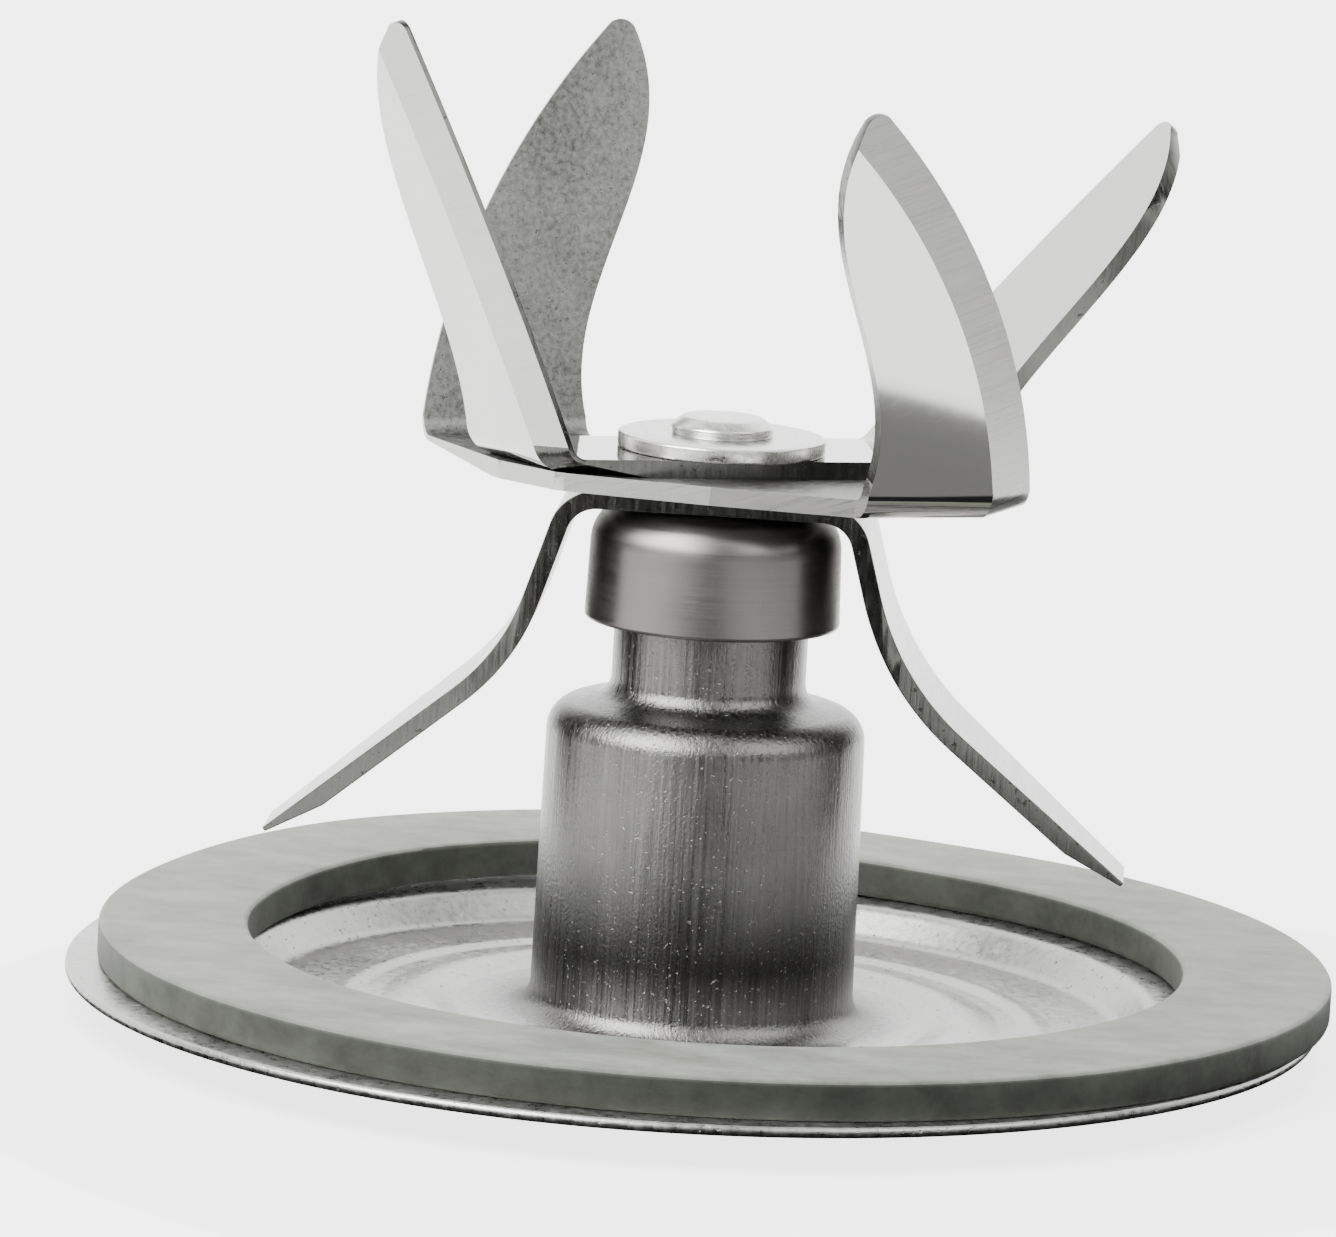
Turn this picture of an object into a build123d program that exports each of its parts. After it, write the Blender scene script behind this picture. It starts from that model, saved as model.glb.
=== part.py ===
"""Blade assembly of a kitchen blender or juicer jar, in millimetres.

One drawn sheet piece makes the base disc, the hub and its neck. A rubber gasket lies on the disc.
A spindle turns in a bushing inside the hub. It carries a bell cap, three stacked blades and a
washer, held by its riveted head. The lower blade's arms reach down, the other wings stand up.
The frame has +Z up and its origin on the spindle axis, in the plane that the dished base rests on.
"""
import os
from math import asin, atan2, cos, radians, sin, tan

from build123d import *

# Drawn housing: base disc, dish, hub, shoulder and neck of one sheet
sheet = 0.6
disc_radius = 35.0
rim_lift = 1.8
rim_round = 0.2
dish_radius = 25.6
dish_wall_run = 1.4
dish_bend = 1.0
bead_radius = 15.3
bead_half_width = 2.0
bead_height = 0.65
bead_foot_bend = 1.3
bead_crest_bend = 3.0
ring_radius = 19.3
ring_half_width = 0.9
ring_height = 0.25
ring_bend = 1.2
hub_foot_radius = 9.05
hub_top_radius = 8.85
hub_foot_bend = 1.5
hub_height = 17.9
shoulder_rise = 0.75
shoulder_bend = 1.7
neck_radius = 5.4
neck_root_bend = 0.55
neck_height = 5.85

# Rubber gasket, which lies a little off centre
gasket_radius = 34.5
gasket_bore = 26.15
gasket_height = 2.2
gasket_round = 0.35
gasket_shift_x = 1.2
gasket_shift_y = 0.9

# Spindle and what it turns in
journal_radius = 3.0
running_clearance = 0.04
press_clearance = 0.02
end_float = 0.1
bushing_foot = 9.6
bushing_chamfer = 0.5
seal_height = 1.8
thrust_washer_height = 0.8
thrust_washer_inset = 0.1
lower_washer_radius = 6.2
clip_height = 0.8
clip_radius = 4.6
clip_gap = 3.6
clip_shelf = 0.8
groove_depth = 0.5
drive_side = 5.2
drive_foot = 0.8
drive_chamfer = 0.4
collar_radius = 4.3
collar_height = 3.3
tenon_radius = 2.45
tenon_flat = 1.95
tenon_clearance = 0.05

# Bell cap over the neck
cap_wall = 0.8
cap_mouth_radius = 7.1
cap_crown_radius = 6.9
cap_height = 6.6
cap_bend = 1.8
cap_lip_round = 0.25

# Blades, all of one sheet
blade_sheet = 1.0
bend_radius = 1.1
bevel_width = 2.4
bevel_land = 0.3
swell_round = 1.6

# Lower blade, along its own strip: bend stations of each arm and their drop below the strip
lower_azimuth = -3.0
lower_half_width = 5.1
lower_knee_bend = 2.2
lower_right_knee = 7.75
lower_right_ankle = 10.3
lower_right_ankle_drop = 9.25
lower_right_ankle_bend = 16.0
lower_right_reach = 23.4
lower_right_drop = 20.36
lower_left_knee = 7.95
lower_left_ankle = 10.8
lower_left_ankle_drop = 9.1
lower_left_ankle_bend = 12.5
lower_left_reach = 23.97
lower_left_drop = 20.42
lower_tip_half_width = 2.2
lower_taper_start = 9.9
lower_taper_round = 9.0
lower_grind = 3.6
lower_grind_land = 0.25
lower_grind_spare = 0.1

# Middle blade: fold line of its right wing, the wings, and the points that its strip's front edge passes
middle_fold_x = 12.8
middle_fold_y = -8.5
middle_fold_azimuth = 20.0
middle_right_angle = 76.1
middle_left_angle = 79.6
middle_right_length = 22.4
middle_left_length = 23.45
middle_lead_base = 4.33
middle_lead_belly = 2.15
middle_lead_shoulder = -1.65
middle_lead_tip = -6.75
middle_trail_base = -5.29
middle_trail_waist = -6.27
middle_trail_shoulder = -9.2
middle_trail_tip = -8.37
middle_kink_x = -12.2
middle_kink_y = -2.0
middle_flank_x = -8.8
middle_flank_y = -5.3
middle_waist_x = -0.5
middle_waist_y = -7.6
middle_run_out = 8.0

# Upper blade, described in the same way
upper_fold_x = 10.98
upper_fold_y = 3.38
upper_fold_azimuth = 125.5
upper_right_angle = 54.3
upper_left_angle = 73.0
upper_right_length = 22.8
upper_left_length = 24.2
upper_lead_base = 4.8
upper_lead_belly = 2.4
upper_lead_shoulder = -0.3
upper_lead_tip = -3.0
upper_trail_base = -4.2
upper_trail_waist = -4.9
upper_trail_shoulder = -6.4
upper_trail_tip = -4.4
upper_run_out = 3.6

# Wing outline stations, as shares of a wing's length
belly_share = 0.4
shoulder_share = 0.72
trail_shoulder_share = 0.8
tip_crown = 0.45

# Top washer and riveted head
washer_radius = 5.76
washer_height = 0.85
washer_chamfer = 0.15
rivet_radius = 2.8
rivet_height = 1.0
rivet_edge = 0.55

# Levels that follow from the sizes above
floor_top = sheet
rim_top = rim_lift + sheet
shoulder_level = hub_height + shoulder_rise
neck_top = shoulder_level + neck_height
neck_bore = neck_radius - sheet
hub_bore = hub_top_radius - sheet
bushing_shoulder = hub_height - sheet - shoulder_bend
bushing_top = neck_top - seal_height
collar_foot = neck_top + thrust_washer_height + end_float
cap_seat = collar_foot + collar_height
cap_top = cap_seat + cap_wall
lower_level = cap_top
middle_level = lower_level + blade_sheet
upper_level = middle_level + blade_sheet
washer_level = upper_level + blade_sheet
rivet_level = washer_level + washer_height
lower_washer_level = bushing_foot - thrust_washer_height
clip_level = lower_washer_level - end_float - clip_height
drive_top = clip_level - clip_shelf
running_bore = journal_radius + running_clearance


def revolved_sheet(skin, radii, wall, side):
    """Sheet of even thickness turned about the spindle axis, from the line of its outer skin."""
    line = FilletPolyline(*[(r, 0, z) for r, z in skin], radius=radii)
    flat = Plane.XZ.to_local_coords(line)
    section = make_face(flat.wire().offset_2d(wall, kind=Kind.INTERSECTION, side=side, closed=True))
    return revolve(Plane.XZ * section, Axis.Z)


def bead(radius, half_width, height):
    """Skin points of one raised bead of the base, from its outer foot over its crest to its inner foot."""
    return [
        (radius + half_width, floor_top),
        (radius, floor_top + height),
        (radius - half_width, floor_top),
    ]


def housing():
    skin = [(disc_radius, rim_top), (dish_radius, rim_top), (dish_radius - dish_wall_run, floor_top)]
    radii = [dish_bend, dish_bend]
    skin += bead(ring_radius, ring_half_width, ring_height)
    radii += [ring_bend] * 3
    skin += bead(bead_radius, bead_half_width, bead_height)
    radii += [bead_foot_bend, bead_crest_bend, bead_foot_bend]
    skin += [(hub_foot_radius, floor_top), (hub_top_radius, hub_height)]
    radii += [hub_foot_bend, shoulder_bend]
    skin += [(neck_radius, shoulder_level), (neck_radius, neck_top)]
    radii += [neck_root_bend]
    body = revolved_sheet(skin, radii, sheet, Side.LEFT)
    rim = body.edges().filter_by(GeomType.CIRCLE).group_by(SortBy.RADIUS)[-1]
    return fillet(rim, rim_round)


def ring(outer, bore, low, height):
    """Flat ring about the spindle axis."""
    blank = Cylinder(outer, height, align=(Align.CENTER, Align.CENTER, Align.MIN))
    hole = Cylinder(bore, height, align=(Align.CENTER, Align.CENTER, Align.MIN))
    return Pos(0, 0, low) * (blank - hole)


def gasket():
    body = ring(gasket_radius, gasket_bore, rim_top, gasket_height)
    body = fillet(body.edges().filter_by(GeomType.CIRCLE), gasket_round)
    return Pos(gasket_shift_x, gasket_shift_y, 0) * body


def bushing():
    wide = ring(hub_bore - press_clearance, running_bore, bushing_foot, bushing_shoulder - bushing_foot)
    wide = chamfer(wide.edges().filter_by(GeomType.CIRCLE).group_by(SortBy.RADIUS)[-1], bushing_chamfer)
    narrow = ring(neck_bore - press_clearance, running_bore, bushing_shoulder, bushing_top - bushing_shoulder)
    return wide + narrow


def shaft_seal():
    return ring(neck_bore - press_clearance, running_bore, bushing_top, seal_height)


def upper_thrust_washer():
    return ring(neck_radius - thrust_washer_inset, running_bore, neck_top, thrust_washer_height)


def lower_thrust_washer():
    return ring(lower_washer_radius, running_bore, lower_washer_level, thrust_washer_height)


def retaining_clip():
    """Open spring ring in the spindle's groove."""
    body = ring(clip_radius, journal_radius - groove_depth + press_clearance, clip_level, clip_height)
    mouth = Box(clip_radius, clip_gap, clip_height, align=(Align.MIN, Align.CENTER, Align.MIN))
    return body - Pos(0, 0, clip_level) * mouth


def tenon_section(clearance):
    """Round section with two flats, on which blades, cap and washer are keyed."""
    radius = tenon_radius + clearance
    return Circle(radius) & Rectangle(2 * radius, 2 * (tenon_flat + clearance))


def keyed_hole(level, height):
    return extrude(Pos(0, 0, level) * tenon_section(tenon_clearance), height)


def rivet_head():
    """Short round edge under a shallow spherical crown."""
    crown = rivet_height - rivet_edge
    ball = (rivet_radius ** 2 + crown ** 2) / (2 * crown)
    half_angle = asin(rivet_radius / ball) / 2
    middle = (ball * sin(half_angle), rivet_height - ball + ball * cos(half_angle))
    sides = Polyline((0, rivet_height), (0, 0), (rivet_radius, 0), (rivet_radius, rivet_edge))
    dome = ThreePointArc((rivet_radius, rivet_edge), middle, (0, rivet_height))
    return Pos(0, 0, rivet_level) * revolve(Plane.XZ * make_face([*sides.edges(), dome]), Axis.Z)


def spindle():
    """Square drive end, journal with the clip's groove, collar, keyed tenon and riveted head."""
    root = journal_radius - groove_depth
    groove_top = clip_level + clip_height
    profile = Polyline(
        (0, drive_top), (journal_radius, drive_top), (journal_radius, clip_level), (root, clip_level),
        (root, groove_top), (journal_radius, groove_top), (journal_radius, collar_foot),
        (collar_radius, collar_foot), (collar_radius, cap_seat), (0, cap_seat), close=True)
    turned = revolve(Plane.XZ * make_face(profile), Axis.Z)
    drive = Box(drive_side, drive_side, drive_top - drive_foot, align=(Align.CENTER, Align.CENTER, Align.MIN))
    drive = chamfer(drive.faces().sort_by(Axis.Z)[0].edges(), drive_chamfer)
    tenon = extrude(Pos(0, 0, cap_seat) * tenon_section(0), rivet_level - cap_seat)
    return turned + Pos(0, 0, drive_foot) * drive + tenon + rivet_head()


def bell_cap():
    mouth = cap_top - cap_height
    skin = [(cap_mouth_radius, mouth), (cap_crown_radius, cap_top), (0, cap_top)]
    body = revolved_sheet(skin, [cap_bend], cap_wall, Side.LEFT)
    lip = body.edges().filter_by(GeomType.CIRCLE).group_by(Axis.Z)[0]
    return fillet(lip, cap_lip_round) - keyed_hole(cap_seat, cap_wall)


def lower_blade():
    """Strip with both arms bent down and then outwards, tapered in plan and ground at the tips."""
    level = lower_level + blade_sheet / 2
    right = [(lower_right_knee, 0), (lower_right_ankle, lower_right_ankle_drop),
             (lower_right_reach, lower_right_drop)]
    left = [(lower_left_knee, 0), (lower_left_ankle, lower_left_ankle_drop),
            (lower_left_reach, lower_left_drop)]
    route = [(-s, 0, level - drop) for s, drop in reversed(left)]
    route += [(s, 0, level - drop) for s, drop in right]
    bends = [lower_left_ankle_bend, lower_knee_bend, lower_knee_bend, lower_right_ankle_bend]
    path = FilletPolyline(*route, radius=bends)
    section = Plane(path @ 0, x_dir=(0, 1, 0), z_dir=path % 0) * Rectangle(2 * lower_half_width, blade_sheet)
    strip = sweep(section, path)
    depth = max(lower_right_drop, lower_left_drop) + 2 * blade_sheet
    body = strip & Pos(0, 0, level - depth) * extrude(lower_plan(), depth + blade_sheet)
    body -= tip_grind(level, *right[1:])
    body -= Rot(0, 0, 180) * tip_grind(level, *left[1:])
    return Rot(0, 0, lower_azimuth) * body - keyed_hole(lower_level, blade_sheet)


def lower_plan():
    """Plan of the lower blade: an even strip between the bends, then a taper to each tip."""
    right = lower_right_reach + blade_sheet
    left = -lower_left_reach - blade_sheet
    corners = [(right, lower_tip_half_width), (lower_taper_start, lower_half_width),
               (-lower_taper_start, lower_half_width), (left, lower_tip_half_width)]
    corners += [(x, -y) for x, y in reversed(corners)]
    outline = make_face(Polyline(*corners, close=True))
    shoulders = outline.vertices().filter_by(lambda v: abs(abs(v.X) - lower_taper_start) < 0.01)
    return fillet(shoulders, lower_taper_round)


def tip_grind(level, ankle, end):
    """Wedge that sharpens the underside of one arm's tip. Both stations are a distance and a drop."""
    slope = atan2(ankle[1] - end[1], end[0] - ankle[0])
    along = Vector(cos(slope), 0, sin(slope))
    across = Vector(-sin(slope), 0, cos(slope))
    tip = Vector(end[0], 0, level - end[1])
    low = -blade_sheet / 2
    start = tip - along * lower_grind + across * low
    edge = tip + along * lower_grind_spare + across * (blade_sheet / 2 - lower_grind_land)
    foot = tip + along * lower_grind_spare + across * (2 * low)
    rear = start + across * low
    face = make_face(Polyline(start, edge, foot, rear, close=True))
    return extrude(face, lower_half_width, dir=(0, 1, 0), both=True)


def wing_frame(fold_x, fold_y, azimuth, level, turn, angle):
    """Places of one fold: its line, the tangent lines beside it and the standing wing's plane."""
    spin = radians(azimuth + turn)
    half_turn = radians(turn)
    x = fold_x * cos(half_turn) - fold_y * sin(half_turn)
    y = fold_x * sin(half_turn) + fold_y * cos(half_turn)
    along = Vector(cos(spin), sin(spin), 0)
    outward = Vector(sin(spin), -cos(spin), 0)
    setback = (bend_radius + blade_sheet / 2) * tan(radians(angle) / 2)
    start = Vector(x, y, level) - outward * setback
    centre = start + Vector(0, 0, blade_sheet + bend_radius)
    rise = outward * cos(radians(angle)) + Vector(0, 0, sin(radians(angle)))
    inward = Vector(0, 0, cos(radians(angle))) - outward * sin(radians(angle))
    plane = Plane(centre - inward * bend_radius - rise * setback, x_dir=along, z_dir=-inward)
    return along, start, centre, plane, setback


def wing(plane, foot, length, lead, trail):
    """Standing wing: its leading edge ground to a bevel on the outer face, its tip rounded."""
    belly = belly_share * length
    shoulder = shoulder_share * length
    spare = 2 * (lead[0] - trail[0])
    lead_line = Spline((lead[0], foot), (lead[1], belly), (lead[2], shoulder), (lead[3], length))
    reach = lead_line @ 1 + (lead_line % 1) * 2 * bevel_width
    run_out = Line(lead_line @ 1, reach)
    back = Polyline(reach, (trail[3] - spare, reach.Y), (trail[3] - spare, foot), (lead[0], foot))
    blank = extrude(make_face([lead_line, run_out, *back.edges()]), blade_sheet)
    edges = blank.edges().filter_by_position(Axis.Z, blade_sheet, blade_sheet)
    ground = edges.filter_by(lambda e: (e @ 0.5).X > trail[3] and (e @ 0.5).Y > foot + 0.01)
    ground = ground.filter_by(lambda e: abs((e % 0.5).Y) > 0.05)
    face = blank.faces().sort_by(Axis.Z)[-1]
    blank = chamfer(ground, bevel_width, blade_sheet - bevel_land, reference=face)
    broad = trail_shoulder_share * length
    trail_line = Spline((trail[0], foot), (trail[1], belly), (trail[2], broad), (trail[3], length))
    crown = ThreePointArc(
        (trail[3], length), ((lead[3] + trail[3]) / 2, length + tip_crown), (lead[3], length))
    front = Polyline((lead[3], length), (lead[0] + spare, length), (lead[0] + spare, foot), (trail[0], foot))
    shape = extrude(make_face([trail_line, crown, *front.edges()]), blade_sheet)
    return plane * (blank & shape)


def bevel_run(far, along, edge, run_out):
    """Pointed wedge by which the bevel runs out under the flat strip's leading edge."""
    depth = Vector(0, 0, blade_sheet - bevel_land)
    mouth = make_face(Polyline(far, far - along * bevel_width, far + depth, close=True))
    return loft([mouth, Vertex(*(far + edge * run_out))])


def strip_outline(corners, swell):
    """Flat strip between both folds. Its front edge passes the swell's points, and its rear edge the same
    points turned half round."""
    right_trail, right_lead, left_trail, left_lead = corners
    level = right_trail.Z
    front = [Vector(x, y, level) for x, y in swell]
    rear = [Vector(-x, -y, level) for x, y in swell]
    face = make_face(Polyline(right_trail, right_lead, *rear, left_trail, left_lead, *front, close=True))
    turns = [v for v in face.vertices() if any((Vector(*v) - p).length < 0.01 for p in front + rear)]
    return fillet(turns, swell_round) if turns else face


def folded_blade(level, fold, angles, lengths, lead, trail, swell, run_out):
    """Flat strip, a bend at each end along its skewed fold line, and a standing wing on each bend."""
    corners = []
    leads = []
    pieces = []
    lift = Vector(0, 0, blade_sheet)
    for turn, angle, length in zip((0, 180), angles, lengths):
        along, start, centre, plane, setback = wing_frame(*fold, level, turn, angle)
        near = start + along * trail[0]
        far = start + along * lead[0]
        corners += [near, far]
        leads.append((far, along))
        ground = [near, far - along * bevel_width, far + lift - Vector(0, 0, bevel_land), far + lift]
        end = make_face(Polyline(*ground, near + lift, close=True))
        pieces.append(revolve(end, Axis(centre, -along), angle))
        pieces.append(wing(plane, setback, length, lead, trail))
    body = extrude(strip_outline(corners, swell), blade_sheet, dir=(0, 0, 1))
    ends = [corners[2], corners[0]]
    if swell:
        ends = [Vector(-swell[0][0], -swell[0][1], level), Vector(*swell[0], level)]
    for (far, along), neighbour in zip(leads, ends):
        body -= bevel_run(far, along, (neighbour - far).normalized(), run_out)
    for piece in pieces:
        body += piece
    return body - keyed_hole(level, blade_sheet)


def middle_blade():
    return folded_blade(
        middle_level,
        (middle_fold_x, middle_fold_y, middle_fold_azimuth),
        (middle_right_angle, middle_left_angle),
        (middle_right_length, middle_left_length),
        (middle_lead_base, middle_lead_belly, middle_lead_shoulder, middle_lead_tip),
        (middle_trail_base, middle_trail_waist, middle_trail_shoulder, middle_trail_tip),
        [(middle_kink_x, middle_kink_y), (middle_flank_x, middle_flank_y), (middle_waist_x, middle_waist_y)],
        middle_run_out)


def upper_blade():
    return folded_blade(
        upper_level,
        (upper_fold_x, upper_fold_y, upper_fold_azimuth),
        (upper_right_angle, upper_left_angle),
        (upper_right_length, upper_left_length),
        (upper_lead_base, upper_lead_belly, upper_lead_shoulder, upper_lead_tip),
        (upper_trail_base, upper_trail_waist, upper_trail_shoulder, upper_trail_tip),
        [],
        upper_run_out)


def blade_washer():
    blank = Cylinder(washer_radius, washer_height, align=(Align.CENTER, Align.CENTER, Align.MIN))
    blank = chamfer(blank.edges().filter_by(GeomType.CIRCLE), washer_chamfer)
    return Pos(0, 0, washer_level) * blank - keyed_hole(washer_level, washer_height)


def main():
    os.makedirs("parts", exist_ok=True)
    pieces = {
        "bearing_housing": housing(),
        "sealing_gasket": gasket(),
        "bearing_bushing": bushing(),
        "shaft_seal": shaft_seal(),
        "upper_thrust_washer": upper_thrust_washer(),
        "lower_thrust_washer": lower_thrust_washer(),
        "retaining_clip": retaining_clip(),
        "drive_spindle": spindle(),
        "bell_cap": bell_cap(),
        "lower_blade": lower_blade(),
        "middle_blade": middle_blade(),
        "upper_blade": upper_blade(),
        "blade_washer": blade_washer(),
    }
    for name, piece in pieces.items():
        export_step(piece, f"parts/{name}.step")


main()
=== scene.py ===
"""Looks of a juicer blade assembly: drawn base, rubber gasket, bell cap, stacked blades and their stage."""
import math

import bpy
from bpy.props import FloatProperty, FloatVectorProperty, IntProperty, PointerProperty
from mathutils import Matrix, Vector


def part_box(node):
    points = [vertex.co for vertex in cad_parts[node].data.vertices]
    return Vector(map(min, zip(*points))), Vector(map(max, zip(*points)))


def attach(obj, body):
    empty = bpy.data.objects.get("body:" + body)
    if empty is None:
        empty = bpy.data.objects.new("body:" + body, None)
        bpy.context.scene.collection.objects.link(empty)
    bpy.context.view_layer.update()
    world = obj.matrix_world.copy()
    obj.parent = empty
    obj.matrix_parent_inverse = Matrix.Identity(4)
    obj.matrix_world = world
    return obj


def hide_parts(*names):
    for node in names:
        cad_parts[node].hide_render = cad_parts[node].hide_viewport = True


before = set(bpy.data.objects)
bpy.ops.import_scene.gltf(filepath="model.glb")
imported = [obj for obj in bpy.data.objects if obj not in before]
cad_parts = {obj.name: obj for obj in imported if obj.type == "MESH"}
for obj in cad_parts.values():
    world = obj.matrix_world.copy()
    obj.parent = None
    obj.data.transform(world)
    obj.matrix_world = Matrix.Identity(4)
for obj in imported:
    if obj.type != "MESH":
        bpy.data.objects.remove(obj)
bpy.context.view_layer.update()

bl_info = {
    "name": "Juicer blade",
    "version": (1, 0, 0),
    "blender": (4, 5, 0),
    "location": "View3D > Sidebar > Juicer blade",
    "description": "Models and finishes a juicer blade assembly around its fixed frame",
    "category": "Object",
}

MM = 0.001

# Places that the frame gives
HOUSING_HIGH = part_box("bearing_housing")[1]
GASKET_LOW, GASKET_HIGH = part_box("sealing_gasket")
CAP_LOW, CAP_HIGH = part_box("bell_cap")
WASHER_LOW, WASHER_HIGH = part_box("blade_washer")
RIVET_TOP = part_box("drive_spindle")[1].z

# The photograph's width and the camera that was fitted to it
PHOTO_WIDTH = 1336
FOCAL_PIXELS = 8224.4
SENSOR_WIDTH = 36.0

# Limits of a pattern's factor: most of its values, the middle ones, and its few peaks
WIDE = (0.3, 0.7)
MIDDLE = (0.35, 0.65)
PEAKS = (0.66, 0.74)

# Detail that all the metals share
CLOUD_SCALE = 140.0
SAND_SCALE = 5200.0
STREAK_SHARE = 0.6
CLOUD_GLOSS = 0.2
# Tone of a metal's darker zone: the painted dark reflection over the hub's foot, and the disc's skirt that
# takes on the hub's tone
DARK_ZONE_TONE = 0.35
PIT_DULLNESS = 0.4
PIT_DEPTH = 1.6
GRAIN_HEIGHT = 0.02 * MM

# Heights between which the hub's painted dark reflection begins and ends, and radii between which the disc's
# darker skirt ends
FOOT_REFLECTION_START = (2.6 * MM, 4.8 * MM)
FOOT_REFLECTION_END = (5.2 * MM, 10.5 * MM)
SKIRT_END = (10.2 * MM, 12.2 * MM)

# Distances from the near card's middle between which it turns grey, and the direction to the front right
GREY_CARD_START = (33 * MM, 37 * MM)
GREY_CARD_TURN = math.radians(45)

# Order of a blade's finishes
SATIN, GROUND, MOTTLED, SHEARED = range(4)

# Meshing of new pieces
MERGE_DISTANCE = MM * 1e-3
TURNED_CREASE = math.radians(32)
COPIED_CREASE = math.radians(24)
FLAT_LIMIT = math.radians(0.4)


def length(label, about, value):
    """A size in metres that a user may change."""
    return FloatProperty(name=label, description=about, default=value, unit="LENGTH", precision=5)


def angle(label, about, degrees):
    """An angle that a user may change."""
    return FloatProperty(name=label, description=about, default=math.radians(degrees), subtype="ANGLE")


def strength(label, about, value):
    """A strength of light that a user may change."""
    return FloatProperty(name=label, description=about, default=value, min=0)


def colour(label, about, value):
    """A linear colour that a user may change."""
    return FloatVectorProperty(name=label, description=about, default=value, subtype="COLOR", min=0, max=1)


class JuicerBladeSizes(bpy.types.PropertyGroup):
    """Sizes of the turned and drawn pieces."""
    sheet: length("Sheet", "Thickness of the drawn housing", 0.6 * MM)
    rim_round: length("Rim round", "Rounding of the base disc's cut rim", 0.22 * MM)
    dish_radius: length("Dish radius", "Where the base begins to dip", 25.6 * MM)
    dish_run: length("Dish run", "Width of the dip's slope", 1.4 * MM)
    ring_radius: length("Ring radius", "Middle of the fine outer ring", 19.3 * MM)
    bead_radius: length("Bead radius", "Middle of the broad bead", 15.3 * MM)
    hub_foot: length("Hub foot", "Radius of the hub where it leaves the base", 9.05 * MM)
    hub_top: length("Hub top", "Radius of the hub under its shoulder", 8.85 * MM)
    hub_height: length("Hub height", "Height of the hub's shoulder edge", 17.9 * MM)
    neck_radius: length("Neck radius", "Radius of the neck", 5.4 * MM)
    gasket_bore: length("Gasket bore", "Radius of the gasket's hole", 26.15 * MM)
    cap_wall: length("Cap wall", "Thickness of the bell cap", 0.8 * MM)
    edge_break: length("Edge break", "Rounding of the stamped blades' edges", 0.07 * MM)
    turn_steps: IntProperty(
        name="Turn steps", description="Steps of the large turned pieces", default=192, min=24)


class JuicerBladeFinishes(bpy.types.PropertyGroup):
    """Base colours of the finishes."""
    hub: colour("Hub", "Drawn steel of hub and neck", (0.10, 0.099, 0.095))
    disc: colour("Disc", "Satin steel of the base disc", (0.28, 0.278, 0.271))
    cap: colour("Cap", "Warm satin steel of the bell cap", (0.12, 0.115, 0.109))
    blade: colour("Blade", "Polished faces of the blades", (0.41, 0.406, 0.397))
    bevel: colour("Bevel", "Ground cutting bevels and arms", (0.3075, 0.3045, 0.29775))
    # The inner colour also covers the middle blade's strip top, where its darkness is partly painted shade
    # under the upper blade
    inner: colour("Inner", "Unpolished inner faces of the middle blade", (0.15, 0.15, 0.144))
    # The edge colour also darkens the upper blade's strip edges, where it is painted shade
    edge: colour("Edge", "Sheared edges of the blades", (0.075, 0.075, 0.071))
    washer: colour("Washer", "Washer and rivet", (0.46, 0.456, 0.443))
    gasket: colour("Gasket", "Grey-green rubber of the gasket's top", (0.285, 0.30, 0.26))
    # Colour of the gasket's sides, painted darker than its top as painted shade
    gasket_shaded_side: colour("Gasket side", "Darker rubber of the gasket's sides", (0.122, 0.131, 0.11))
    floor: colour("Floor", "Pale studio floor", (0.93, 0.93, 0.925))
    card: colour("Dark cards", "Cards that the metal mirrors in front", (0.02, 0.02, 0.02))
    grey_card: colour("Grey card", "Front right part of the near card", (0.24, 0.24, 0.237))
    pale_card: colour("Pale card", "Card that the metal mirrors on the right", (0.93, 0.93, 0.925))


class JuicerBladeStage(bpy.types.PropertyGroup):
    """Camera and light."""
    camera_distance: length("Camera distance", "How far in front of the axis the camera stands", 450 * MM)
    camera_height: length("Camera height", "Height of the camera over the floor", 99.8 * MM)
    camera_pitch: angle("Pitch", "Downward tilt of the camera", 9.704)
    camera_yaw: angle("Yaw", "Turn of the camera to the right", -0.310)
    camera_roll: angle("Roll", "Roll of the camera", 3.133)
    key_strength: strength("Key light", "Strength of the broad overhead light", 6.0)
    key_spread: angle("Key spread", "Breadth of the overhead light", 80)
    floor_glow: strength("Floor glow", "Strength of the light table under the part", 3.4)
    backdrop_glow: strength("Backdrop", "Tone that the room shows past the floor", 4.75)
    room_strength: strength("Room light", "Strength of the room around the part", 1.3)
    window_strength: strength("Window", "Strength of the bright windows high in front", 20.0)
    near_card_radius: length("Near card", "Radius of the dark disc under the part", 54 * MM)
    front_card_width: length("Front card", "Half width of the dark card in front of the part", 46 * MM)


def sizes():
    """The sizes as the user has set them."""
    return bpy.context.scene.juicer_blade_sizes


def finishes():
    """The colours as the user has set them."""
    return bpy.context.scene.juicer_blade_finishes


def stage_settings():
    """The camera and light as the user has set them."""
    return bpy.context.scene.juicer_blade_stage


# Shader helpers


def new_material(name):
    """An empty node material with its surface shader."""
    material = bpy.data.materials.new(name)
    material.use_nodes = True
    tree = material.node_tree
    tree.nodes.clear()
    surface = tree.nodes.new("ShaderNodeBsdfPrincipled")
    output = tree.nodes.new("ShaderNodeOutputMaterial")
    tree.links.new(surface.outputs["BSDF"], output.inputs["Surface"])
    return material, tree, surface


def feed(tree, socket, value):
    """Links a socket to another one, or sets it to a value."""
    if isinstance(value, bpy.types.NodeSocket):
        tree.links.new(value, socket)
    else:
        socket.default_value = value


def add_node(tree, kind, inputs=None, **settings):
    """Adds a node, applies its settings, and sets or links its inputs."""
    made = tree.nodes.new(kind)
    for key, value in settings.items():
        setattr(made, key, value)
    for key, value in (inputs or {}).items():
        feed(tree, made.inputs[key], value)
    return made


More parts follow.
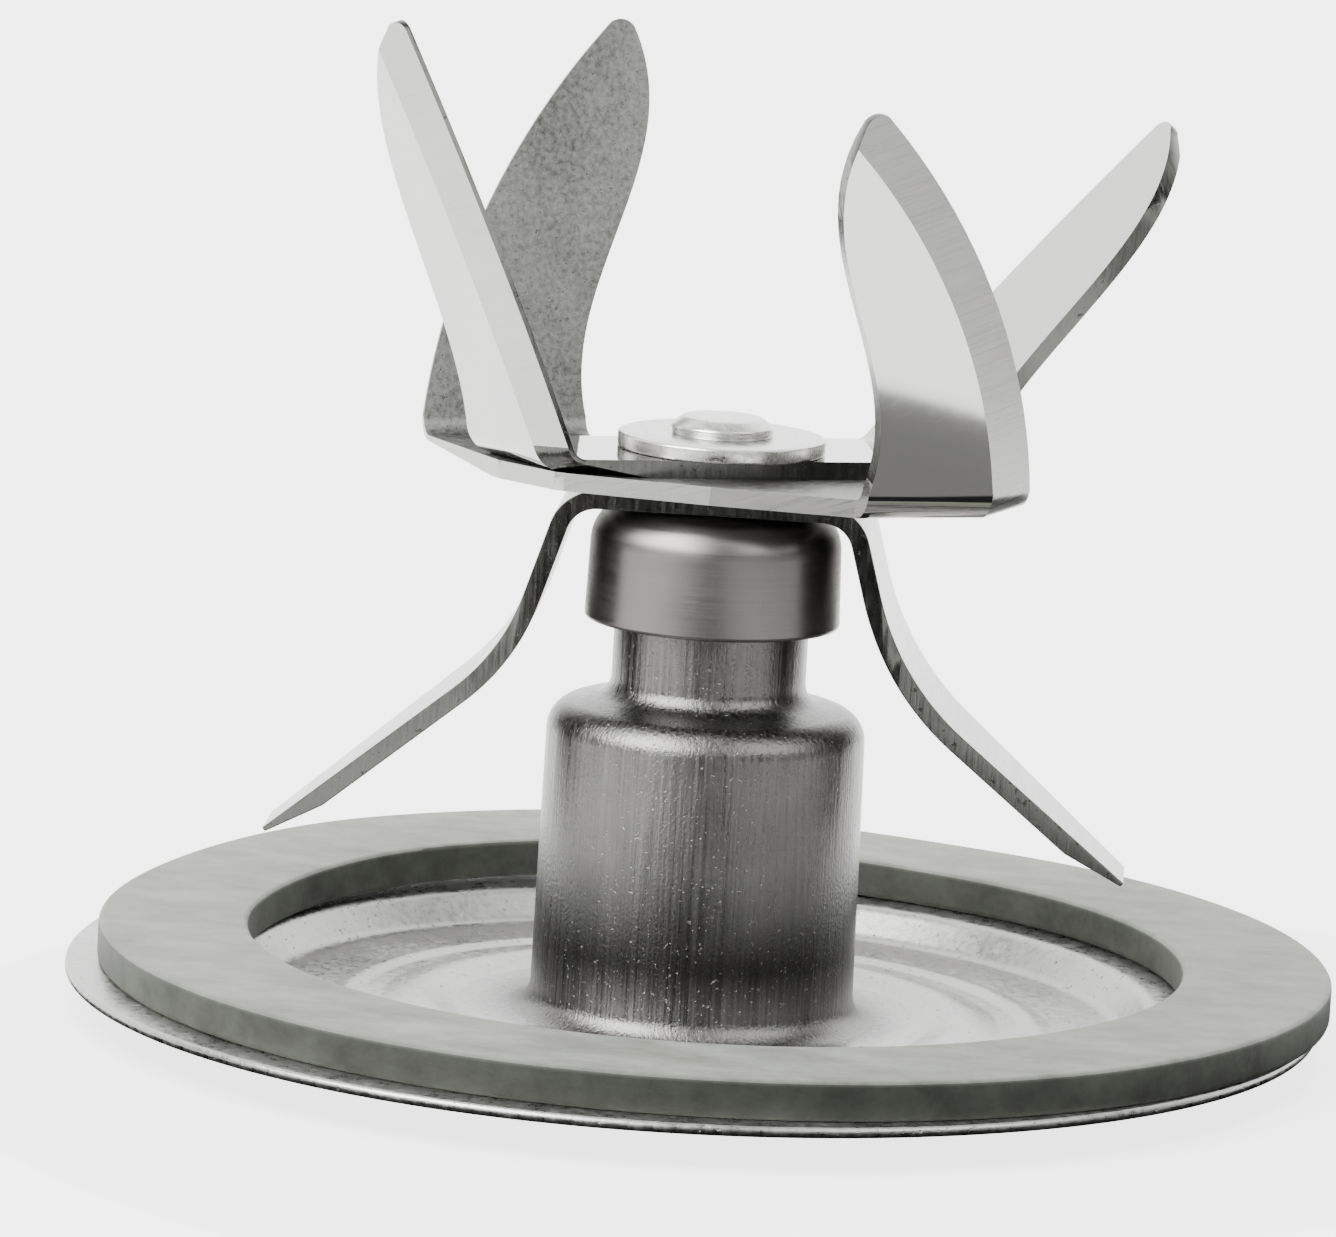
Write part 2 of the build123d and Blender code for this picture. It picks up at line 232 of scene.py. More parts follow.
def object_coordinates(tree, stretch=(1, 1, 1), turn=(0, 0, 0)):
    """Object coordinates, turned first and then stretched for one pattern."""
    coordinates = add_node(tree, "ShaderNodeTexCoord").outputs["Object"]
    turned = add_node(tree, "ShaderNodeMapping", {"Vector": coordinates, "Rotation": turn})
    stretched = add_node(tree, "ShaderNodeMapping", {"Vector": turned.outputs["Vector"], "Scale": stretch})
    return stretched.outputs["Vector"]


def along_axis(tree, vector, axis):
    """One part of a vector: X, Y or Z."""
    return add_node(tree, "ShaderNodeSeparateXYZ", {"Vector": vector}).outputs[axis]


def noise(tree, vector, scale=1.0, detail=4.0, roughness=0.55):
    """Factor of a cloudy pattern."""
    made = add_node(tree, "ShaderNodeTexNoise", {
        "Vector": vector, "Scale": scale, "Detail": detail, "Roughness": roughness})
    return made.outputs["Fac"]


def ramp(tree, factor, low, high, start=0.0, end=1.0):
    """Maps a factor between two limits to a range, clamped."""
    made = add_node(tree, "ShaderNodeMapRange", {
        "Value": factor, "From Min": low, "From Max": high, "To Min": start, "To Max": end})
    return made.outputs["Result"]


def mixed(tree, factor, first, second):
    """A colour between two others. The sockets are those of the colour mode."""
    made = add_node(tree, "ShaderNodeMix", {0: factor, 6: first, 7: second}, data_type="RGBA")
    return made.outputs[2]


def calculated(tree, operation, first, second):
    """Result of one sum on two factors."""
    return add_node(tree, "ShaderNodeMath", {0: first, 1: second}, operation=operation).outputs["Value"]


def shade(base, factor=1.0):
    """A colour made darker or lighter by one factor, with its alpha."""
    return tuple(min(1.0, channel * factor) for channel in base) + (1.0,)


def bumped(tree, surface, height, depth, distance):
    """Gives a surface its relief."""
    made = add_node(tree, "ShaderNodeBump", {"Height": height, "Strength": depth, "Distance": distance})
    tree.links.new(made.outputs["Normal"], surface.inputs["Normal"])


def steel_tone(tree, base, lines, clouds, contrast, darker_zone):
    """Colour of a metal's skin, lighter and darker along its grain and in clouds, and darker in one given
    zone.
    """
    streaks = ramp(tree, lines, *WIDE, 0.0, STREAK_SHARE)
    patches = ramp(tree, clouds, *MIDDLE, 0.0, 1 - STREAK_SHARE)
    tone = calculated(tree, "ADD", streaks, patches)
    body = mixed(tree, tone, shade(base, 1 - contrast), shade(base, 1 + contrast))
    return mixed(tree, darker_zone(tree), body, shade(base, DARK_ZONE_TONE)) if darker_zone else body


def steel_gloss(tree, lines, clouds, pitted, smooth, rough):
    """Roughness of a metal's skin: that of its grain, a little uneven, and duller in the pits."""
    uneven = CLOUD_GLOSS * (rough - smooth)
    streaks = ramp(tree, lines, *WIDE, smooth, rough)
    cloudy = calculated(tree, "ADD", streaks, ramp(tree, clouds, *WIDE, -uneven, uneven))
    return calculated(tree, "ADD", cloudy, calculated(tree, "MULTIPLY", pitted, PIT_DULLNESS))


def steel_relief(tree, lines, pitted, sand):
    """Height of a metal's skin: its grain, the pits in it and a fine sand, if it has any."""
    height = calculated(tree, "SUBTRACT", lines, calculated(tree, "MULTIPLY", pitted, PIT_DEPTH))
    if not sand:
        return height
    grit = noise(tree, object_coordinates(tree), SAND_SCALE, detail=2.0, roughness=0.5)
    return calculated(tree, "ADD", height, calculated(tree, "MULTIPLY", grit, sand))


def steel(name, base, stretch, smooth, rough, turn=(0, 0, 0), depth=0.35, contrast=0.16, pits=0.45,
          pit_size=2600.0, pit_and_glint_tone=0.45, darker_zone=None, sand=0.0):
    """Metal with directional grain, broad cloudy stains and small pits.

    stretch and turn lay the grain, smooth and rough are the limits of its roughness, and depth is that
    of its relief. pit_and_glint_tone is the pits' tone beside the base, which above 1 paints them lighter as
    painted glints. darker_zone, if given, builds the factor of one zone painted darker, and sand is the
    height of a fine sandy skin.
    """
    material, tree, surface = new_material(name)
    lines = noise(tree, object_coordinates(tree, stretch, turn), detail=3.0, roughness=0.6)
    clouds = noise(tree, object_coordinates(tree), CLOUD_SCALE, detail=5.0, roughness=0.6)
    specks = noise(tree, object_coordinates(tree), pit_size, detail=2.0, roughness=0.5)
    pitted = calculated(tree, "MULTIPLY", ramp(tree, specks, *PEAKS), pits)
    body = steel_tone(tree, base, lines, clouds, contrast, darker_zone)
    tree.links.new(mixed(tree, pitted, body, shade(base, pit_and_glint_tone)), surface.inputs["Base Color"])
    tree.links.new(steel_gloss(tree, lines, clouds, pitted, smooth, rough), surface.inputs["Roughness"])
    bumped(tree, surface, steel_relief(tree, lines, pitted, sand), depth, GRAIN_HEIGHT)
    surface.inputs["Metallic"].default_value = 1.0
    return material


def painted_foot_reflection(tree):
    """Factor of the band over the hub's foot that is painted darker, as a painted dark reflection of the dim
    surroundings low in front.
    """
    height = along_axis(tree, object_coordinates(tree), "Z")
    fading = ramp(tree, height, *FOOT_REFLECTION_END, 1.0, 0.0)
    return calculated(tree, "MULTIPLY", fading, ramp(tree, height, *FOOT_REFLECTION_START))


def skirt_stain(tree):
    """Factor of the zone around the hub's foot where the disc takes on the hub's tone."""
    flat = object_coordinates(tree, (1, 1, 0))
    reach = add_node(tree, "ShaderNodeVectorMath", {"Vector": flat}, operation="LENGTH")
    return ramp(tree, reach.outputs["Value"], *SKIRT_END, 1.0, 0.0)


def hub_steel():
    """Steel with the upright lines of deep drawing."""
    # The hub's pits are painted lighter as painted glints, and the band over its foot is painted darker as a
    # painted dark reflection
    return steel("drawn_hub_steel", finishes().hub, stretch=(5600, 5600, 80), smooth=0.24, rough=0.42,
                 depth=1.3, contrast=0.36, pits=0.4, pit_size=4200.0, pit_and_glint_tone=1.9, darker_zone=painted_foot_reflection, sand=0.9)


def disc_steel():
    """Satin sheet with the sandy skin that pressing leaves."""
    return steel("pressed_disc_steel", finishes().disc, stretch=(2300, 2300, 2300), smooth=0.24, rough=0.44,
                 depth=1.0, contrast=0.3, pits=0.6, pit_size=3000.0, darker_zone=skirt_stain)


def cap_steel():
    """Satin cap with fine lines around it."""
    return steel("spun_cap_steel", finishes().cap, stretch=(120, 120, 6000), smooth=0.30, rough=0.40,
                 depth=0.15, contrast=0.08, pits=0.15, pit_size=4200.0)


def blade_steel():
    """Polished faces of the blades."""
    return steel("satin_blade_steel", finishes().blade, stretch=(900, 900, 5200), smooth=0.055, rough=0.065,
                 turn=(0.0, 0.5, 0.0), depth=0.002, contrast=0.03, pits=0.03, pit_size=3600.0)


def bevel_steel():
    """Ground cutting bevels with slanting grinding lines."""
    return steel("ground_bevel_steel", finishes().bevel, stretch=(160, 160, 7000), smooth=0.24, rough=0.34,
                 turn=(0.0, 0.35, 0.0), depth=0.3, contrast=0.09, pits=0.05)


def inner_steel():
    """Unpolished inner faces of the middle blade's wings and the top of its strip, finely mottled and
    specked; on the strip its darkness is partly painted shade.
    """
    return steel("mottled_blade_steel", finishes().inner, stretch=(3600, 3600, 3000), smooth=0.36, rough=0.60,
                 depth=1.2, contrast=0.5, pits=0.7, pit_size=5200.0)


def sheared_steel():
    """Sheared edges with upright tear marks; on the upper blade's strip edges their darkness is painted
    shade.
    """
    return steel("sheared_edge_steel", finishes().edge, stretch=(5200, 5200, 420), smooth=0.15, rough=0.28,
                 depth=0.4, contrast=0.34, pits=0.6)


def washer_steel():
    """Washer and rivet with slanting scratches."""
    return steel("scratched_washer_steel", finishes().washer, stretch=(900, 4200, 2600), smooth=0.20,
                 rough=0.36, turn=(0.0, 0.0, 0.6), depth=0.5, pits=0.5)


def spindle_steel():
    """Turned steel with fine lines around it."""
    return steel("turned_spindle_steel", (0.55, 0.55, 0.545), stretch=(160, 160, 7000), smooth=0.2,
                 rough=0.32, depth=0.3)


def plain_finish(name, base, metallic, smooth, rough, grain_size, depth):
    """Finish of the small bearing pieces: mottled colour, uneven gloss and a fine grain."""
    material, tree, surface = new_material(name)
    grain = noise(tree, object_coordinates(tree), grain_size, detail=4.0, roughness=0.6)
    clouds = noise(tree, object_coordinates(tree), scale=220.0, detail=4.0, roughness=0.55)
    body = mixed(tree, ramp(tree, clouds, *MIDDLE), shade(base, 0.82), shade(base, 1.15))
    tree.links.new(body, surface.inputs["Base Color"])
    tree.links.new(ramp(tree, grain, *WIDE, smooth, rough), surface.inputs["Roughness"])
    bumped(tree, surface, grain, depth, distance=0.03 * MM)
    surface.inputs["Metallic"].default_value = metallic
    return material


def gasket_rubber(name, base):
    """Matt grey-green rubber with marbling, faint dust and a fine grain."""
    material, tree, surface = new_material(name)
    laid = object_coordinates(tree, stretch=(190, 300, 300), turn=(0.0, 0.0, 0.2))
    marbling = noise(tree, laid, detail=6.0, roughness=0.66)
    grain = noise(tree, object_coordinates(tree), scale=3800.0, detail=3.0, roughness=0.6)
    specks = noise(tree, object_coordinates(tree), scale=1500.0, detail=2.0, roughness=0.5)
    dust = ramp(tree, specks, low=0.68, high=0.76)
    body = mixed(tree, ramp(tree, marbling, *WIDE), shade(base, 0.62), shade(base, 1.38))
    faint = calculated(tree, "MULTIPLY", dust, 0.25)
    tree.links.new(mixed(tree, faint, body, shade(base, 1.5)), surface.inputs["Base Color"])
    tree.links.new(ramp(tree, marbling, *WIDE, 0.52, 0.68), surface.inputs["Roughness"])
    height = calculated(tree, "ADD", grain, calculated(tree, "MULTIPLY", marbling, 2.0))
    bumped(tree, surface, height, depth=0.25, distance=0.04 * MM)
    surface.inputs["Specular IOR Level"].default_value = 0.12
    return material


def matt_paint(name, roughness, tone):
    """Paint without any gloss. tone builds its colour."""
    material, tree, surface = new_material(name)
    tree.links.new(tone(tree), surface.inputs["Base Color"])
    surface.inputs["Roughness"].default_value = roughness
    surface.inputs["Specular IOR Level"].default_value = 0.0
    return material, surface


def uneven_tone(base, scale, spread):
    """Builder of a colour that is slightly lighter and darker in clouds."""
    def build(tree):
        clouds = noise(tree, object_coordinates(tree), scale, detail=2.0, roughness=0.5)
        return mixed(tree, clouds, shade(base, 1 - spread), shade(base, 1 + spread))
    return build


def floor_paint():
    """Pale matt top of a light table with the faintest unevenness."""
    base = finishes().floor
    tone = uneven_tone(base, scale=3.0, spread=0.01)
    material, surface = matt_paint("pale_floor", roughness=0.7, tone=tone)
    surface.inputs["Emission Color"].default_value = shade(base)
    surface.inputs["Emission Strength"].default_value = stage_settings().floor_glow
    material.cycles.emission_sampling = "NONE"
    return material


def card_paint(name, tone):
    """Matt card. tone builds its colour."""
    return matt_paint(name, roughness=0.8, tone=tone)[0]


def grained_card(name, base):
    """Matt card of one colour with a faint grain."""
    return card_paint(name, uneven_tone(base, scale=60.0, spread=0.1))


def near_card_tone(tree):
    """Dark colour that turns grey towards the front right, where a standing wing mirrors the card."""
    turned = object_coordinates(tree, turn=(0, 0, GREY_CARD_TURN))
    grey = ramp(tree, along_axis(tree, turned, "X"), *GREY_CARD_START)
    return mixed(tree, grey, shade(finishes().card), shade(finishes().grey_card))


# Modelling helpers


def deselect_all():
    """Leaves edit mode and selects nothing."""
    if bpy.context.object and bpy.context.object.mode != "OBJECT":
        bpy.ops.object.mode_set(mode="OBJECT")
    bpy.ops.object.select_all(action="DESELECT")


def edit_alone(piece):
    """Opens one piece in edit mode, with nothing else selected."""
    deselect_all()
    piece.select_set(True)
    bpy.context.view_layer.objects.active = piece
    bpy.ops.object.mode_set(mode="EDIT")


def corner_arc(before, corner, after, radius, steps):
    """Points of the arc that rounds one corner of a line."""
    corner = Vector(corner)
    back = (Vector(before) - corner).normalized()
    ahead = (Vector(after) - corner).normalized()
    half = back.angle(ahead) / 2
    reach = radius / math.tan(half)
    centre = corner + (back + ahead).normalized() * (radius / math.sin(half))
    start = corner + back * reach - centre
    sweep = start.angle_signed(corner + ahead * reach - centre)
    turns = [-sweep * step / steps for step in range(steps + 1)]
    return [centre + Matrix.Rotation(turn, 2) @ start for turn in turns]


def rounded(corners, radii, steps=6):
    """Points of a line in (radius, height) whose inner corners are arcs of the given radii."""
    points = [Vector(corners[0])]
    for before, corner, after, radius in zip(corners, corners[1:], corners[2:], radii):
        points += corner_arc(before, corner, after, radius, steps)
    return points + [Vector(corners[-1])]


def sheet_outline(skin, wall):
    """Closed outline of a bent sheet, from the line of its outer skin and its thickness to the left of it."""
    inner = []
    for index, point in enumerate(skin):
        before = skin[max(index - 1, 0)]
        after = skin[min(index + 1, len(skin) - 1)]
        run = (after - before).normalized()
        inner.append(point + Vector((-run.y, run.x)) * wall)
    return skin + inner[::-1]


def drawn_line(name, outline):
    """New mesh, left in edit mode, whose one vertex is extruded along an outline in (radius, height)."""
    deselect_all()
    bpy.ops.mesh.primitive_plane_add(size=MM, location=(0, 0, 0))
    piece = bpy.context.object
    piece.name = name
    piece.data.name = name
    bpy.ops.object.mode_set(mode="EDIT")
    bpy.ops.mesh.select_all(action="SELECT")
    bpy.ops.mesh.merge(type="CENTER")
    bpy.ops.transform.translate(value=(outline[0][0], 0, outline[0][1]))
    for here, there in zip(outline, outline[1:]):
        bpy.ops.mesh.extrude_region_move(
            TRANSFORM_OT_translate={"value": (there[0] - here[0], 0, there[1] - here[1])})
    bpy.ops.mesh.select_all(action="SELECT")
    bpy.ops.mesh.remove_doubles(threshold=MERGE_DISTANCE)
    return piece


def turned_piece(name, outline, steps, closed=True):
    """Turned piece: an outline that is spun about the spindle axis."""
    piece = drawn_line(name, outline + outline[:1] if closed else outline)
    bpy.ops.mesh.spin(steps=steps, angle=2 * math.pi, center=(0, 0, 0), axis=(0, 0, 1))
    bpy.ops.mesh.select_all(action="SELECT")
    bpy.ops.mesh.remove_doubles(threshold=MERGE_DISTANCE)
    bpy.ops.mesh.normals_make_consistent(inside=False)
    bpy.ops.object.mode_set(mode="OBJECT")
    bpy.ops.object.shade_smooth_by_angle(angle=TURNED_CREASE)
    return piece


def break_edges(piece, width, segments, degrees):
    """Rounds the edges of the active piece that are sharper than an angle."""
    bevel = piece.modifiers.new("edge_break", "BEVEL")
    bevel.width = width
    bevel.segments = segments
    bevel.limit_method = "ANGLE"
    bevel.angle_limit = math.radians(degrees)
    bpy.ops.object.modifier_apply(modifier=bevel.name)


def dressed_copy(node, name, edge_break):
    """Copy of a CAD node with its triangles merged, its flat faces made whole and its edges broken."""
    piece = bpy.data.objects.new(name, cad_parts[node].data.copy())
    piece.data.name = name
    bpy.context.scene.collection.objects.link(piece)
    edit_alone(piece)
    bpy.ops.mesh.select_all(action="SELECT")
    bpy.ops.mesh.remove_doubles(threshold=MERGE_DISTANCE)
    bpy.ops.mesh.customdata_custom_splitnormals_clear()
    bpy.ops.mesh.dissolve_limited(angle_limit=FLAT_LIMIT)
    bpy.ops.object.mode_set(mode="OBJECT")
    break_edges(piece, edge_break, segments=2, degrees=28)
    bpy.ops.object.shade_smooth_by_angle(angle=COPIED_CREASE)
    piece.data.materials.clear()
    return piece


def crisp_borders(piece):
    """Marks the lines between different finishes as sharp and lets broad faces keep their own direction."""
    edit_alone(piece)
    for index in range(len(piece.material_slots)):
        bpy.ops.mesh.select_all(action="DESELECT")
        piece.active_material_index = index
        bpy.ops.object.material_slot_select()
        bpy.ops.mesh.region_to_loop()
        bpy.ops.mesh.mark_sharp()
    bpy.ops.mesh.select_mode(type="VERT")
    bpy.ops.object.mode_set(mode="OBJECT")
    weighted = piece.modifiers.new("broad_faces", "WEIGHTED_NORMAL")
    weighted.keep_sharp = True
    bpy.ops.object.modifier_apply(modifier=weighted.name)


def finish_piece(piece, body, node, slot, *materials):
    """Gives a piece its finishes, ties it to its body and hides the CAD node that it stands in for. slot is
    not used.
    """
    for material in materials:
        piece.data.materials.append(material)
    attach(piece, body)
    if node:
        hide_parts(node)


# Operators, one for each piece or group of like pieces


class JUICERBLADE_OT_housing(bpy.types.Operator):
    """Spin the drawn housing: base disc, beads, hub, shoulder and neck"""
    bl_idname = "juicerblade.housing"
    bl_label = "Drawn housing"

    # Half width, height, foot bend and crest bend of the fine ring and of the broad bead
    ring_form = (0.9 * MM, 0.25 * MM, 1.2 * MM, 1.2 * MM)
    bead_form = (2.0 * MM, 0.65 * MM, 1.3 * MM, 3.0 * MM)
    dish_bend = 1.0 * MM
    hub_foot_bend = 1.5 * MM
    shoulder_rise = 0.75 * MM
    shoulder_bend = 1.7 * MM
    neck_root_bend = 1.2 * MM
    hub_skirt = 1.2 * MM
    rim_steps = 8

    def skin(self, size):
        """Points of the outer skin in (radius, height), from the disc's rim to the neck's edge."""
        floor_top = size.sheet
        rim_top = GASKET_LOW.z
        corners = [(HOUSING_HIGH.x - size.rim_round, rim_top), (size.dish_radius, rim_top),
                   (size.dish_radius - size.dish_run, floor_top)]
        radii = [self.dish_bend] * 2
        for middle, form in ((size.ring_radius, self.ring_form), (size.bead_radius, self.bead_form)):
            half, height, foot, crest = form
            corners += [(middle + half, floor_top), (middle, floor_top + height), (middle - half, floor_top)]
            radii += [foot, crest, foot]
        shoulder = size.hub_height + self.shoulder_rise
        corners += [(size.hub_foot, floor_top), (size.hub_top, size.hub_height),
                    (size.neck_radius, shoulder), (size.neck_radius, HOUSING_HIGH.z)]
        radii += [self.hub_foot_bend, self.shoulder_bend, self.neck_root_bend]
        return rounded(corners, radii)

    def rim(self, size):
        """Points around the disc's cut edge, from its underside to its top."""
        edge = HOUSING_HIGH.x - size.rim_round
        half = size.sheet / 2
        turns = [math.pi * step / self.rim_steps for step in range(1, self.rim_steps)]
        return [Vector((edge + size.rim_round * math.sin(turn), GASKET_LOW.z - half - half * math.cos(turn)))
                for turn in turns]

    def execute(self, context):
        size = sizes()
        outline = sheet_outline(self.skin(size), size.sheet) + self.rim(size)
        piece = turned_piece("drawn_housing", outline, size.turn_steps)
        finish_piece(piece, "base", "bearing_housing", "drawn_steel", disc_steel(), hub_steel())
        for face in piece.data.polygons:
            face.material_index = 1 if face.center.xy.length < size.hub_foot + self.hub_skirt else 0
        return {"FINISHED"}


class JUICERBLADE_OT_gasket(bpy.types.Operator):
    """Spin the flat rubber gasket and lay it off centre on the disc"""
    bl_idname = "juicerblade.gasket"
    bl_label = "Gasket"

    edge_round = 0.35 * MM
    start_inset = 4 * MM
    top_slope = 0.6
    curl_azimuth = math.radians(115)
    curl_spread = math.radians(14)
    curl_border = 0.5 * MM
    curl_lift = 0.55 * MM
    curl_reach = 24 * MM

    def execute(self, context):
        centre = (GASKET_LOW + GASKET_HIGH) / 2
        outer = GASKET_HIGH.x - centre.x
        bore = sizes().gasket_bore
        start = (outer - self.start_inset, GASKET_LOW.z)
        corners = [start, (outer, GASKET_LOW.z), (outer, GASKET_HIGH.z),
                   (bore, GASKET_HIGH.z), (bore, GASKET_LOW.z), start]
        piece = turned_piece("rubber_gasket", rounded(corners, [self.edge_round] * 4), sizes().turn_steps)
        bpy.ops.object.mode_set(mode="EDIT")
        bpy.ops.mesh.select_all(action="SELECT")
        bpy.ops.transform.translate(value=(centre.x, centre.y, 0))
        self.curl(piece, centre, outer)
        top = gasket_rubber("sage_gasket_rubber", finishes().gasket)
        # The top and the sides are lit and shaded copies of one rubber: the sides are painted darker as shade
        sides = gasket_rubber("painted_shade_gasket_rubber", finishes().gasket_shaded_side)
        finish_piece(piece, "base", "sealing_gasket", "gasket_rubber", top, sides)
        # Faces that look up take the top's rubber, all others the painted shade of the sides
        for face in piece.data.polygons:
            face.material_index = 0 if face.normal.z > self.top_slope else 1
        return {"FINISHED"}

    def curl(self, piece, centre, outer):
        """Lifts the loose ring's outer edge at the back left, as rubber that was stored rolled does."""
        bpy.ops.mesh.select_all(action="DESELECT")
        bpy.ops.object.mode_set(mode="OBJECT")
        for vertex in piece.data.vertices:
            reach = vertex.co.xy - centre.xy
            aside = abs(math.atan2(reach.y, reach.x) - self.curl_azimuth)
            vertex.select = aside < self.curl_spread and reach.length > outer - self.curl_border
        bpy.ops.object.mode_set(mode="EDIT")
        bpy.ops.transform.translate(
            value=(0, 0, self.curl_lift), use_proportional_edit=True, proportional_edit_falloff="SMOOTH",
            proportional_size=self.curl_reach)
        bpy.ops.object.mode_set(mode="OBJECT")


class JUICERBLADE_OT_bell_cap(bpy.types.Operator):
    """Spin the bell cap that covers the neck's top"""
    bl_idname = "juicerblade.bell_cap"
    bl_label = "Bell cap"

    mouth_flare = 0.2 * MM
    hole = 2.6 * MM
    crown_bend = 2.3 * MM
    crown_steps = 10
    lip_round = 0.2 * MM

    def execute(self, context):
        size = sizes()
        mouth, top = CAP_HIGH.x, CAP_HIGH.z
        corners = [(mouth, CAP_LOW.z), (mouth - self.mouth_flare, top), (self.hole, top)]
        outline = sheet_outline(rounded(corners, [self.crown_bend], self.crown_steps), size.cap_wall)
        piece = turned_piece("bell_cap_shell", outline, size.turn_steps)
        break_edges(piece, self.lip_round, segments=3, degrees=50)
        finish_piece(piece, "rotor", "bell_cap", "cap_steel", cap_steel())
        return {"FINISHED"}


class JUICERBLADE_OT_blades(bpy.types.Operator):
    """Break the edges of the three stamped blades and give each face its finish"""
    bl_idname = "juicerblade.blades"
    bl_label = "Blades"

    # Fold line of each right wing: a point in millimetres, its azimuth in degrees, and the fold angles of
    # both wings in degrees
    folds = {
        "middle_blade": ((12.8, -8.5), 20.0, (76.1, 79.6)),
        "upper_blade": ((10.98, 3.38), 125.5, (54.3, 73.0)),
        "lower_blade": None,
    }
    half_sheet = 0.5 * MM
    wing_rise = 2.2 * MM
    bend_reach = 3 * MM

    # How well a face's direction has to agree with that of its wing, strip or bend
    satin_facing = 0.992
    ground_facing = 0.9
    inner_facing = -0.99
    strip_facing = 0.97
    bend_skew = 0.1
    side_facing = 0.7

    def wing_planes(self, node):
        """Point on the fold, fold direction and outward normal of each standing wing."""
        if not self.folds[node]:
            return []
        (x, y), azimuth, leans = self.folds[node]
        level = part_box(node)[0].z + self.half_sheet
        turn = math.radians(azimuth)
        planes = []
        for lean, side in zip(leans, (1, -1)):
            along = Vector((math.cos(turn), math.sin(turn), 0)) * side
            outward = Vector((math.sin(turn), -math.cos(turn), 0)) * side
            normal = outward * math.sin(math.radians(lean)) - Vector((0, 0, math.cos(math.radians(lean))))
            planes.append((Vector((side * x * MM, side * y * MM, level)), along, normal))
        return planes

    def wing_finish(self, face, planes, inner):
        """Finish of a face on a standing wing."""
        nearest = min(planes, key=lambda plane: abs((face.center - plane[0]).dot(plane[2])))
        facing = face.normal.dot(nearest[2])
        if facing > self.satin_facing:
            return SATIN
        if facing > self.ground_facing:
            return GROUND
        return inner if facing < self.inner_facing else SHEARED

    def on_bend(self, face, point, along):
        """Whether a face is near a fold and curves about it."""
        away = (face.center - point).dot(along.cross(Vector((0, 0, 1))))
        return abs(face.normal.dot(along)) < self.bend_skew and abs(away) < self.bend_reach

    def strip_finish(self, face, planes, inner):
        """Finish of a face on the flat strip or its bends."""
        # On the middle blade the strip's top takes the dark mottled finish, partly the sheet's unpolished
        # side and partly painted shade of the gap under the upper blade
        broad = inner if face.normal.z > 0 else SATIN
        if abs(face.normal.z) > self.strip_facing:
            return broad
        if any(self.on_bend(face, point, along) for point, along, normal in planes):
            return broad
        # The upper blade's strip edges take the dark sheared finish as painted shade, and the middle blade's
        # the lighter ground finish where light falls on them
        return GROUND if inner == MOTTLED else SHEARED

    def arm_finish(self, face):
        """Finish of a face of the lower blade."""
        return SHEARED if abs(face.normal.y) > self.side_facing else GROUND

    def finish_faces(self, piece, node):
        """Gives each face of a blade its finish."""
        planes = self.wing_planes(node)
        inner = MOTTLED if node == "middle_blade" else SATIN
        wing_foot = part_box(node)[0].z + self.wing_rise
        for face in piece.data.polygons:
            if not planes:
                face.material_index = self.arm_finish(face)
            elif face.center.z > wing_foot:
                face.material_index = self.wing_finish(face, planes, inner)
            else:
                face.material_index = self.strip_finish(face, planes, inner)

    def execute(self, context):
        kinds = (blade_steel(), bevel_steel(), inner_steel(), sheared_steel())
        for node in self.folds:
            piece = dressed_copy(node, node.replace("_blade", "_stamped_blade"), sizes().edge_break)
            finish_piece(piece, "rotor", node, "blade_steel", *kinds)
            self.finish_faces(piece, node)
            crisp_borders(piece)
        return {"FINISHED"}


class JUICERBLADE_OT_washer(bpy.types.Operator):
    """Turn the washer and the peened rivet head on top of the blades"""
    bl_idname = "juicerblade.washer"
    bl_label = "Washer and rivet"

    hole = 2.55 * MM
    edge_round = 0.16 * MM
    edge_steps = 4
    rivet_foot = 2.66 * MM
    rivet_brim = 2.9 * MM
    rivet_brim_height = 0.45 * MM
    rivet_flat = 2.2 * MM
    rivet_crown = 0.04 * MM
    rivet_bends = (0.02 * MM, 0.2 * MM, 0.5 * MM)
    rivet_bend_steps = 5
    rivet_turn_steps = 96

    def execute(self, context):
        scratched = washer_steel()
        self.turn_washer(scratched)
        self.turn_rivet(scratched)
        return {"FINISHED"}

    def turn_washer(self, material):
        """Flat washer with rounded outer edges."""
        reach = WASHER_HIGH.x
        low, high = WASHER_LOW.z, WASHER_HIGH.z
        corners = [(self.hole, low), (reach, low), (reach, high), (self.hole, high)]
        outline = rounded(corners, [self.edge_round] * 2, self.edge_steps)
        washer = turned_piece("polished_washer", outline, sizes().turn_steps)
        finish_piece(washer, "rotor", "blade_washer", "spindle_steel", material)

    def turn_rivet(self, material):
        """Rivet head with an undercut brim and a faint crown."""
        base = WASHER_HIGH.z
        corners = [(0, base), (self.rivet_foot, base), (self.rivet_brim, base + self.rivet_brim_height),
                   (self.rivet_flat, RIVET_TOP), (0, RIVET_TOP + self.rivet_crown)]
        outline = rounded(corners, self.rivet_bends, self.rivet_bend_steps)
        rivet = turned_piece("peened_rivet", outline, self.rivet_turn_steps, closed=False)
        finish_piece(rivet, "rotor", None, "spindle_steel", material)


